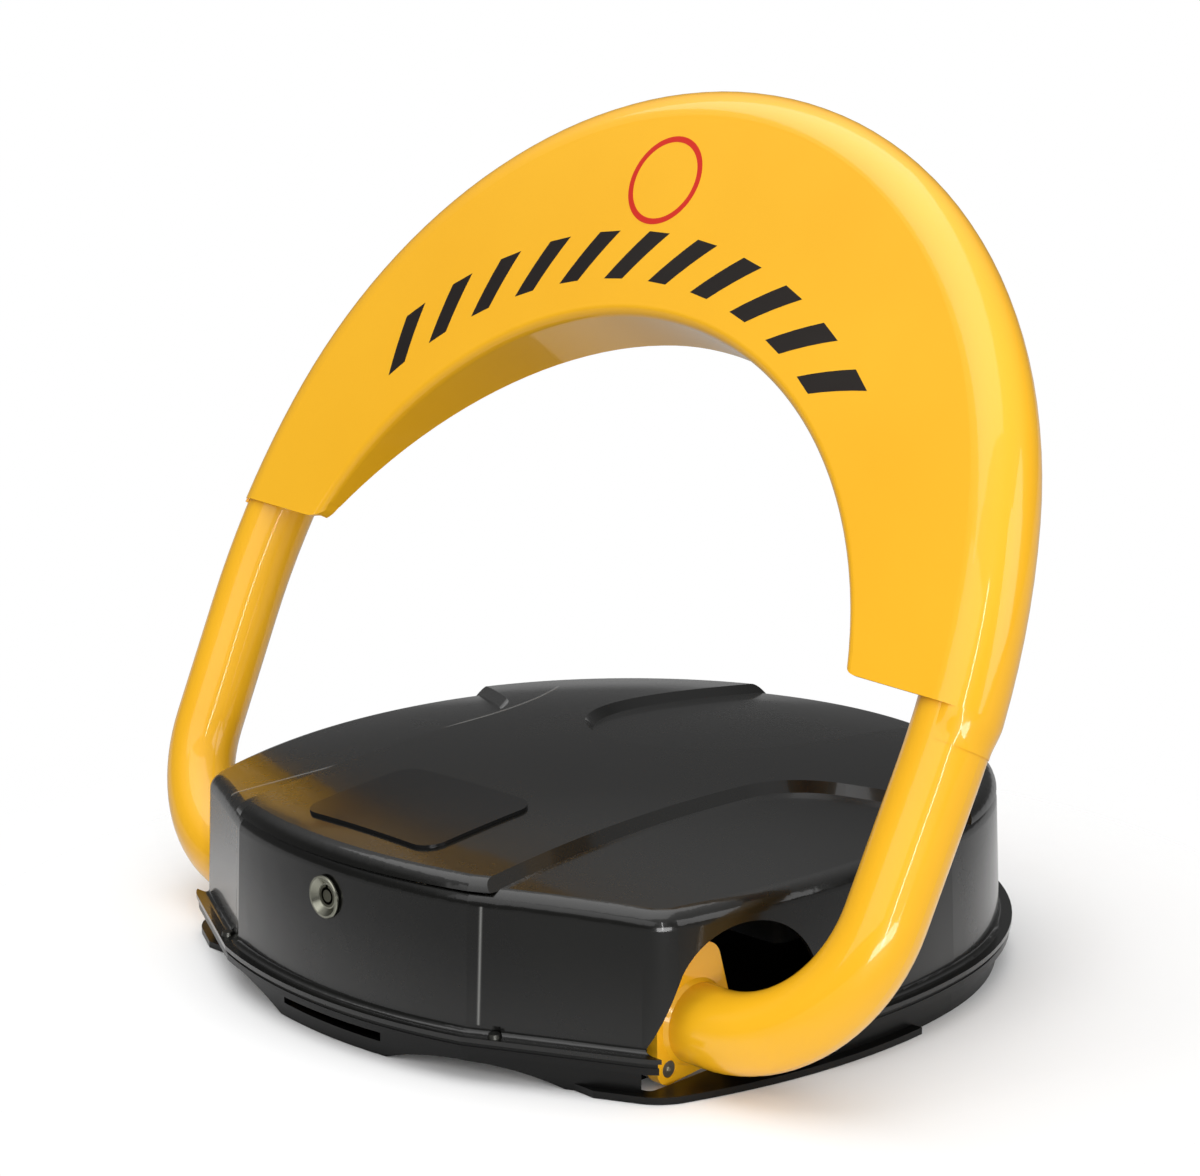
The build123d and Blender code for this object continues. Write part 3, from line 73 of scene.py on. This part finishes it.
middle = (0.0, 0.0, 0.15)
softbox("lamp_over", (-0.3, -0.3, 2.4), middle, (3.0, 2.6), 39.0)
softbox("lamp_front", (0.5, -2.7, 1.8), middle, (3.0, 1.5), 18.0)
softbox("lamp_side", (2.1, 0.5, 1.0), middle, (1.2, 1.2), 11.0)
softbox("lamp_low", (1.4, -0.9, 0.15), (-0.1, 0.0, 0.3), (0.9, 0.2), 6.0)
softbox("lamp_strip", (1.75, -1.25, 0.9), middle, (0.07, 1.6), 7.0)


class Wire:
    """Output socket of a shader node that can be written in sums; a number stands for itself."""

    def __init__(self, tree, socket):
        self.tree = tree
        self.socket = socket

    def math(self, operation, *terms):
        return add_node(self.tree, "ShaderNodeMath", {"operation": operation}, dict(enumerate(terms)))

    def __add__(self, other):
        return self.math("ADD", self, other)

    def __sub__(self, other):
        return self.math("SUBTRACT", self, other)

    def __rsub__(self, other):
        return self.math("SUBTRACT", other, self)

    def __mul__(self, other):
        return self.math("MULTIPLY", self, other)

    __radd__ = __add__
    __rmul__ = __mul__


def add_node(tree, kind, settings=(), inputs=(), output=0):
    """New node: its settings first, then the values or wires of its sockets; gives its output."""
    node = tree.nodes.new(kind)
    for name, value in dict(settings).items():
        if name == "stops":
            ramp = node.color_ramp.elements
            for spot, (position, colour) in enumerate(value):
                element = ramp[spot] if spot < 2 else ramp.new(position)
                element.position = position
                element.color = colour
        else:
            setattr(node, name, value)
    for name, value in dict(inputs).items():
        if isinstance(value, Wire):
            tree.links.new(value.socket, node.inputs[name])
        else:
            node.inputs[name].default_value = value
    return Wire(tree, node.outputs[output])


def mix_colour(tree, factor, first, second):
    """Colour between two colours or wires."""
    sockets = {0: factor, 6: first, 7: second}
    return add_node(tree, "ShaderNodeMix", {"data_type": "RGBA"}, sockets, output=2)


# The room is white to the camera. Every other ray meets a dim wall under a bright ceiling,
# so that the dark coats stay dark.
studio = bpy.data.worlds.new("studio")
studio.use_nodes = True
bpy.context.scene.world = studio
studio_tree = studio.node_tree
ray_direction = add_node(studio_tree, "ShaderNodeTexCoord")
ray_height = add_node(studio_tree, "ShaderNodeSeparateXYZ", (), {0: ray_direction}, output=2)
sky_levels = ((0.0, 0.46), (0.04, 0.10), (0.40, 0.14), (0.70, 0.55), (1.0, 0.95))
sky_stops = {"stops": [(height, (level, level, level, 1)) for height, level in sky_levels]}
sky_tone = add_node(studio_tree, "ShaderNodeValToRGB", sky_stops, {0: ray_height})
camera_ray = add_node(studio_tree, "ShaderNodeLightPath")
sky_colour = mix_colour(studio_tree, camera_ray, sky_tone, (1, 1, 1, 1))
studio_tree.links.new(sky_colour.socket, studio_tree.nodes["Background"].inputs["Color"])


# ---------------------------------------------------------------- floor
# Smooth pale paving that the base stands on, with a faint mottle in its tone. It thins out
# round the lock until only the white room is left.
def new_piece(name, mesh_maker, material, body=None):
    """Object at the origin from a filled bmesh, with its material."""
    mesh = bpy.data.meshes.new(name)
    shape = bmesh.new()
    mesh_maker(shape)
    shape.to_mesh(mesh)
    shape.free()
    piece = bpy.data.objects.new(name, mesh)
    bpy.context.collection.objects.link(piece)
    mesh.materials.append(material)
    if body:
        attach(piece, body)
    return piece


def new_material(name):
    """Empty material with its surface output, and the shader node that ends it."""
    material = bpy.data.materials.new(name)
    material.use_nodes = True
    return material, material.node_tree, material.node_tree.nodes["Principled BSDF"]


def set_shader(shader, **values):
    """Sets constant sockets of a Principled shader, named in lower case with underscores."""
    for name, value in values.items():
        shader.inputs[name.replace("_", " ").title().replace("Ior", "IOR")].default_value = value


floor_material, floor_tree, floor_shader = new_material("pale_floor")
floor_spot = add_node(floor_tree, "ShaderNodeTexCoord", output=3)
floor_grain = {"Vector": floor_spot, "Scale": 3.0, "Detail": 2.0}
floor_mottle = add_node(floor_tree, "ShaderNodeTexNoise", (), floor_grain)
floor_tones = {"stops": [(0.3, (0.93, 0.93, 0.93, 1)), (0.7, (0.95, 0.95, 0.95, 1))]}
floor_colour = add_node(floor_tree, "ShaderNodeValToRGB", floor_tones, {0: floor_mottle})
floor_tree.links.new(floor_colour.socket, floor_shader.inputs["Base Color"])
set_shader(floor_shader, roughness=0.9, specular_ior_level=0.1)
floor_length = {"operation": "LENGTH"}
floor_reach = add_node(floor_tree, "ShaderNodeVectorMath", floor_length, {0: floor_spot}, output=1)
fade_start, fade_end = 0.15, 0.42
fade_range = {0: floor_reach, 1: fade_start, 2: fade_end}
fade_shape = {"interpolation_type": "SMOOTHSTEP"}
floor_fade = add_node(floor_tree, "ShaderNodeMapRange", fade_shape, fade_range)
floor_clear = floor_tree.nodes.new("ShaderNodeBsdfTransparent")
floor_mix = floor_tree.nodes.new("ShaderNodeMixShader")
floor_tree.links.new(floor_fade.socket, floor_mix.inputs[0])
floor_tree.links.new(floor_shader.outputs[0], floor_mix.inputs[1])
floor_tree.links.new(floor_clear.outputs[0], floor_mix.inputs[2])
floor_tree.links.new(floor_mix.outputs[0], floor_tree.nodes["Material Output"].inputs[0])

floor_half_size, floor_drop = 1.0, 0.0003


def floor_plane(shape):
    bmesh.ops.create_grid(shape, x_segments=1, y_segments=1, size=floor_half_size)
    bmesh.ops.translate(shape, verts=shape.verts, vec=(0, 0, -floor_drop))


new_piece("floor", floor_plane, floor_material)


# ---------------------------------------------------------------- cover
# Deep-drawn steel sheet under a black powder coat, half gloss, with the fine orange peel
# that the coat has after stoving. Along the two bends of the front wall and along the low
# ridge at the left of the deck it has a faint raised line, and a painted highlight in grey.
def dress(material, *names):
    """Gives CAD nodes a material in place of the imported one."""
    for name in names:
        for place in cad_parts[name].material_slots:
            place.material = material


def noise(tree, spot, scale, detail):
    """Noise between 0 and 1; its scale counts waves in a metre."""
    return add_node(tree, "ShaderNodeTexNoise", (), {"Vector": spot, "Scale": scale, "Detail": detail})


def powder_coat(name, colour, lighter, roughness, peel, coat=0.0, gloss_blur=0.10, grain=420.0):
    """Stoved powder coat: a small drift in tone and gloss, and an even orange peel.

    The peel is its strength and the grain its scale; the coat is the clear layer on top.
    """
    material, tree, shader = new_material(name)
    spot = add_node(tree, "ShaderNodeTexCoord", output=3)
    drift = noise(tree, spot, scale=9.0, detail=3.0)
    tones = {"stops": [(0.35, (*colour, 1)), (0.7, (*lighter, 1))]}
    tone = add_node(tree, "ShaderNodeValToRGB", tones, {0: drift})
    speck = noise(tree, spot, scale=160.0, detail=2.0)
    drift_share, speck_share, centring = 0.06, 0.02, 0.05
    gloss = drift * drift_share + speck * speck_share + (roughness - centring)
    skin = noise(tree, spot, scale=grain, detail=1.0)
    bump = add_node(tree, "ShaderNodeBump", (), {"Strength": peel, "Distance": 0.0004, "Height": skin})
    tree.links.new(tone.socket, shader.inputs["Base Color"])
    tree.links.new(gloss.socket, shader.inputs["Roughness"])
    tree.links.new(bump.socket, shader.inputs["Normal"])
    set_shader(shader, coat_weight=coat, coat_roughness=gloss_blur, specular_ior_level=0.25)
    return material


cover_tones = (0.0028, 0.0028, 0.0024), (0.0045, 0.0045, 0.0038)
black_coat = powder_coat(
    "black_powder_coat", *cover_tones, roughness=0.28, peel=0.006, coat=0.5, gloss_blur=0.07
)
dress(black_coat, "top_cover")
cover_tree = black_coat.node_tree
cover_spot = add_node(cover_tree, "ShaderNodeTexCoord", output=3)
across, rearward, height = (
    add_node(cover_tree, "ShaderNodeSeparateXYZ", (), {0: cover_spot}, output=axis) for axis in range(3)
)


def drawn_line(offset, width):
    """Thin line where an offset in metres crosses zero: 1 at its middle, 0 beside it."""
    spread = offset * offset * (1 / width**2)
    return spread.math("POWER", math.e, spread * -1.0)


crease_x, crease_width = 0.0826, 0.0005
wall_foot, wall_rim, wall_rear = 0.0235, 0.074, -0.15
wall_creases = drawn_line(across.math("ABSOLUTE", across) - crease_x, crease_width)
front_only = rearward.math("LESS_THAN", rearward, wall_rear)
below_rim = height.math("LESS_THAN", height, wall_rim)
above_foot = height.math("GREATER_THAN", height, wall_foot)

ridge_x, ridge_waist, ridge_width = 0.086, 0.025, 0.0008
ridge_rear_flare, ridge_front_flare = 3.8, 1.5
ridge_foot, ridge_end = 0.079, 0.07
from_waist = rearward + ridge_waist
to_rear = from_waist.math("MAXIMUM", from_waist, 0.0)
to_front = from_waist.math("MINIMUM", from_waist, 0.0)
ridge_sweep = to_rear * to_rear * ridge_rear_flare + to_front * to_front * ridge_front_flare
deck_ridge = drawn_line(across + ridge_x + ridge_sweep, ridge_width)
on_deck = height.math("GREATER_THAN", height, ridge_foot)
before_end = rearward.math("LESS_THAN", rearward, ridge_end)

creases = wall_creases * front_only * below_rim * above_foot + deck_ridge * on_deck * before_end
crease_relief = {"Strength": 0.7, "Distance": 0.0004, "Height": creases}
cover_bump = add_node(cover_tree, "ShaderNodeBump", (), crease_relief)
cover_sockets = cover_tree.nodes["Principled BSDF"].inputs
cover_tree.links.new(cover_bump.socket, cover_sockets["Normal"].links[0].from_node.inputs["Normal"])
cover_tone = Wire(cover_tree, cover_sockets["Base Color"].links[0].from_socket)
# Painted highlight: the base colour is lightened to grey along the bends and the ridge.
painted_highlight_grey, highlight_share = (0.21, 0.21, 0.20, 1), 0.85
painted_highlight_tone = mix_colour(cover_tree, creases * highlight_share, cover_tone, painted_highlight_grey)
cover_tree.links.new(painted_highlight_tone.socket, cover_sockets["Base Color"])


# ---------------------------------------------------------------- base pan
# Floor pan of the same drawn steel and the same black coat, a little duller than the cover
# and with a stronger orange peel.
pan_tones = (0.0022, 0.0022, 0.0022), (0.0040, 0.0040, 0.0036)
pan_coat = powder_coat("black_pan_coat", *pan_tones, roughness=0.33, peel=0.04)
dress(pan_coat, "base_pan")


# ---------------------------------------------------------------- signal window
# Moulded black plastic that lets the radio and the lamp through, smoother than the coat.
# The cases of the two sensors and of the buzzer, inside, are moulded in it too.
window_tones = (0.008, 0.008, 0.008), (0.010, 0.010, 0.010)
window_plastic = powder_coat("black_window_plastic", *window_tones, roughness=0.22, peel=0.03)
dress(window_plastic, "signal_window", "reed_sensors", "buzzer")


# ---------------------------------------------------------------- arm
# Bent tube, pressed shell, welds and flange plates, all coated together in signal yellow
# after welding, under a clear coat that gives the long glints.
arm_tones = (0.95, 0.480, 0.012), (0.98, 0.510, 0.015)
yellow_coat = powder_coat(
    "yellow_powder_coat", *arm_tones, roughness=0.34, peel=0.06, coat=0.7, gloss_blur=0.05
)
dress(yellow_coat, "arm_tube", "arm_shell", "flange_plate_left", "flange_plate_right")
bead_coat = powder_coat(
    "yellow_bead_coat", *arm_tones, roughness=0.34, peel=0.9, coat=0.6, grain=160.0
)
dress(bead_coat, "arm_welds", "shell_welds")


# ---------------------------------------------------------------- hazard bars
# Slanted black bars in a band round the arch, flat paint laid through a stencil on the
# front of the shell.
arm_tilt = math.radians(63.7)
arm_pivot = Vector((0, -0.106, 0.025))
arm_up = Vector((0, math.cos(arm_tilt), math.sin(arm_tilt)))
arm_out = Vector((0, -math.sin(arm_tilt), math.cos(arm_tilt)))
shell_skin = 0.0188


def on_arm(x, y, lift):
    """Point off the front of the shell, from its place across and up the arm."""
    return arm_pivot + Vector((x, 0, 0)) + arm_up * y + arm_out * (shell_skin + lift)


paint_sunk, paint_proud = -0.00005, 0.00006


def laid_paint(shape, near, far, closed):
    """Strip of paint between two rows of points, from just inside the sheet to just above it."""
    under, top = (
        [[shape.verts.new(on_arm(x, y, lift)) for x, y in edge] for edge in (near, far)]
        for lift in (paint_sunk, paint_proud)
    )
    steps = len(near) if closed else len(near) - 1
    for step in range(steps):
        after = (step + 1) % len(near)
        for low, high in ((top[0], top[1]), (under[0], under[1]), (top[0], under[0]), (top[1], under[1])):
            shape.faces.new((low[step], high[step], high[after], low[after]))
    if not closed:
        for end in (0, -1):
            shape.faces.new((top[0][end], top[1][end], under[1][end], under[0][end]))


bar_count, bar_steps = 11, 4
first_bar, last_bar = math.radians(131.5), math.radians(50.0)
bar_inner, bar_outer, bar_width, bar_slant = 0.2005, 0.2245, 0.0130, math.radians(5.5)
arch_centre, print_shift = 0.111, -0.011


def hazard_bars(shape):
    for bar in range(bar_count):
        bar_angle = first_bar + (last_bar - first_bar) * bar / (bar_count - 1)
        edges = []
        for side in (-0.5, 0.5):
            edge = []
            for step in range(bar_steps + 1):
                share = step / bar_steps
                radius = bar_inner + (bar_outer - bar_inner) * share
                angle = bar_angle - bar_slant * (share - 0.5) + side * bar_width / bar_outer
                edge.append((print_shift + radius * math.cos(angle), arch_centre + radius * math.sin(angle)))
            edges.append(edge)
        laid_paint(shape, *edges, closed=False)
    bmesh.ops.recalc_face_normals(shape, faces=shape.faces)


bar_tones = (0.012, 0.009, 0.008), (0.018, 0.014, 0.012)
black_paint = powder_coat("black_stencil_paint", *bar_tones, roughness=0.42, peel=0.06)
new_piece("hazard_bars", hazard_bars, black_paint, "arm")


# ---------------------------------------------------------------- red ring
# Plain ring above the middle of the bars, in the same flat kind of paint but red, laid
# through a stencil of its own on the front of the shell.
ring_middle, ring_outer, ring_width, ring_steps = 0.361, 0.0221, 0.0029, 64


def plain_ring(shape):
    edges = []
    for radius in (ring_outer - ring_width, ring_outer):
        turns = [math.tau * step / ring_steps for step in range(ring_steps)]
        points = [(radius * math.cos(turn), radius * math.sin(turn)) for turn in turns]
        edges.append([(print_shift + x, ring_middle + y) for x, y in points])
    laid_paint(shape, *edges, closed=True)
    bmesh.ops.recalc_face_normals(shape, faces=shape.faces)


ring_tones = (0.60, 0.022, 0.010), (0.66, 0.028, 0.014)
red_paint = powder_coat("red_stencil_paint", *ring_tones, roughness=0.40, peel=0.06)
new_piece("plain_ring", plain_ring, red_paint, "arm")


# ---------------------------------------------------------------- dressed weld
# Weld metal run along the outside of the shell's lower right end, ground down to a smooth
# taper from the sheet to the tube before the arm was coated.
leg_x, leg_height = 0.22680, 0.14975
leg_lean, end_tilt = math.radians(1.51), math.radians(3.35)
sheet_reach, tube_reach = 0.01884, 0.01698
taper_start, taper_length, taper_steps = 0.0004, 0.015, 6
weld_start, weld_half_turn, weld_run_out, weld_pitch = -66, 78, 24, 6


def dressed_weld(shape):
    rows = []
    for turn in range(weld_start, weld_half_turn + 1, weld_pitch):
        angle = math.radians(turn)
        left_over = min((weld_half_turn - turn) / weld_run_out, (turn + weld_half_turn) / weld_run_out)
        ease = math.sin(math.pi * min(1.0, left_over) / 2)
        row = []
        for step in range(taper_steps + 1):
            fall = step / taper_steps
            bulge = (1 + math.cos(math.pi * fall)) / 2
            reach = tube_reach + (sheet_reach - tube_reach) * bulge * ease
            outward = reach * math.cos(angle)
            along = taper_start - outward * math.tan(leg_lean + end_tilt) - taper_length * fall
            x = leg_x + outward * math.cos(leg_lean) - along * math.sin(leg_lean)
            y = leg_height + outward * math.sin(leg_lean) + along * math.cos(leg_lean)
            row.append(shape.verts.new(on_arm(x, y, reach * math.sin(angle) - shell_skin)))
        rows.append(row)
    for row, following in zip(rows, rows[1:]):
        for step in range(taper_steps):
            shape.faces.new((row[step], following[step], following[step + 1], row[step + 1]))
    for face in shape.faces:
        face.smooth = True
    bmesh.ops.recalc_face_normals(shape, faces=shape.faces)


new_piece("dressed_weld", dressed_weld, yellow_coat, "arm")


# ---------------------------------------------------------------- plated screws and nuts
# Zinc plated and passivated steel, a little yellow and dulled by handling: screws, studs,
# nuts and the bent strips of the fittings. The cover's own screws are plated black.
def bare_metal(name, colour, stained, roughness, grain=0.15):
    """Metal with a patchy film on it that changes its tint and its gloss."""
    material, tree, shader = new_material(name)
    spot = add_node(tree, "ShaderNodeTexCoord", output=3)
    film = noise(tree, spot, scale=60.0, detail=4.0)
    tones = {"stops": [(0.35, (*colour, 1)), (0.75, (*stained, 1))]}
    tone = add_node(tree, "ShaderNodeValToRGB", tones, {0: film})
    film_share, centring = 0.2, 0.1
    gloss = film * film_share + (roughness - centring)
    scratch = noise(tree, spot, scale=900.0, detail=2.0)
    bump = add_node(tree, "ShaderNodeBump", (), {"Strength": grain, "Distance": 0.0001, "Height": scratch})
    tree.links.new(tone.socket, shader.inputs["Base Color"])
    tree.links.new(gloss.socket, shader.inputs["Roughness"])
    tree.links.new(bump.socket, shader.inputs["Normal"])
    set_shader(shader, metallic=1.0)
    return material


black_zinc = bare_metal("black_zinc", (0.10, 0.10, 0.09), (0.06, 0.06, 0.055), roughness=0.35)
dress(black_zinc, "cover_screws")
zinc = bare_metal("zinc_plate", (0.62, 0.60, 0.52), (0.42, 0.40, 0.34), roughness=0.35)
dress(zinc, "flange_screws", "gearbox_screws", "floor_studs", "stud_nuts", "lid_screws")
dress(zinc, "battery_strap", "battery_contacts", "motor_bracket", "sensor_bracket")
dress(zinc, "spring_anchors", "lock_keeper", "lock_nut", "lock_cam")


# ---------------------------------------------------------------- key lock
# Tubular lock of nickel-plated brass, held in the front wall of the cover by its nut. It is
# polished on its bezel, and its plug is coloured much darker than the bezel.
nickel = bare_metal("nickel_plate", (0.34, 0.34, 0.28), (0.20, 0.20, 0.16), roughness=0.24)
dress(nickel, "lock_body")
# The plug's nickel is coloured far darker than the bezel's.
dark_plug_nickel = bare_metal("dark_plug_nickel", (0.12, 0.12, 0.09), (0.05, 0.05, 0.035), roughness=0.30)
dress(dark_plug_nickel, "lock_plug")


# ---------------------------------------------------------------- shaft, bearings and drive
# Turned and milled steel under a thin film of grease, running in sintered bronze bushes.
# The springs are of dark wound wire, and the blocks, gearbox and motor are blasted castings.
turned_steel = bare_metal("turned_steel", (0.45, 0.45, 0.45), (0.33, 0.32, 0.30), roughness=0.32)
dress(turned_steel, "main_shaft", "hub_disc_left", "hub_disc_right", "shaft_collars")
dress(turned_steel, "sector_gear", "drive_pinion", "sensor_disc")
bronze = bare_metal(
    "sintered_bronze", (0.50, 0.33, 0.16), (0.38, 0.25, 0.13), roughness=0.5, grain=0.4
)
dress(bronze, "bearing_bush_left", "bearing_bush_right")
spring_steel = bare_metal("spring_steel", (0.16, 0.16, 0.17), (0.10, 0.10, 0.11), roughness=0.38)
dress(spring_steel, "spring_left", "spring_right")
cast_iron = bare_metal(
    "blasted_casting", (0.26, 0.26, 0.27), (0.20, 0.20, 0.20), roughness=0.6, grain=0.8
)
dress(cast_iron, "bearing_block_left", "bearing_block_right", "gearbox_housing", "motor_can")


# ---------------------------------------------------------------- rubber, plastics and cells
# Moulded rubber and grey plastic inside the base, with the matt skin that a mould gives,
# and what they hold: shrink-wrapped cells, and a lacquered board with a copper aerial.
rubber_tones = (0.010, 0.010, 0.010), (0.016, 0.016, 0.015)
rubber = powder_coat("moulded_rubber", *rubber_tones, roughness=0.75, peel=0.5)
dress(rubber, "cover_gasket", "down_stop")
grey_tones = (0.10, 0.105, 0.11), (0.13, 0.135, 0.14)
grey_plastic = powder_coat("grey_moulding", *grey_tones, roughness=0.5, peel=0.3)
dress(grey_plastic, "battery_tray", "control_box", "control_box_lid")
jacket_tones = (0.05, 0.06, 0.16), (0.06, 0.07, 0.19)
cell_jacket = powder_coat("cell_jacket", *jacket_tones, roughness=0.3, peel=0.05)
dress(cell_jacket, "battery_cells")
mask_tones = (0.01, 0.09, 0.03), (0.015, 0.12, 0.04)
board_mask = powder_coat("board_mask", *mask_tones, roughness=0.3, peel=0.1)
dress(board_mask, "circuit_board")
copper = bare_metal("copper_wire", (0.75, 0.36, 0.22), (0.55, 0.27, 0.17), roughness=0.3)
dress(copper, "aerial_coil")
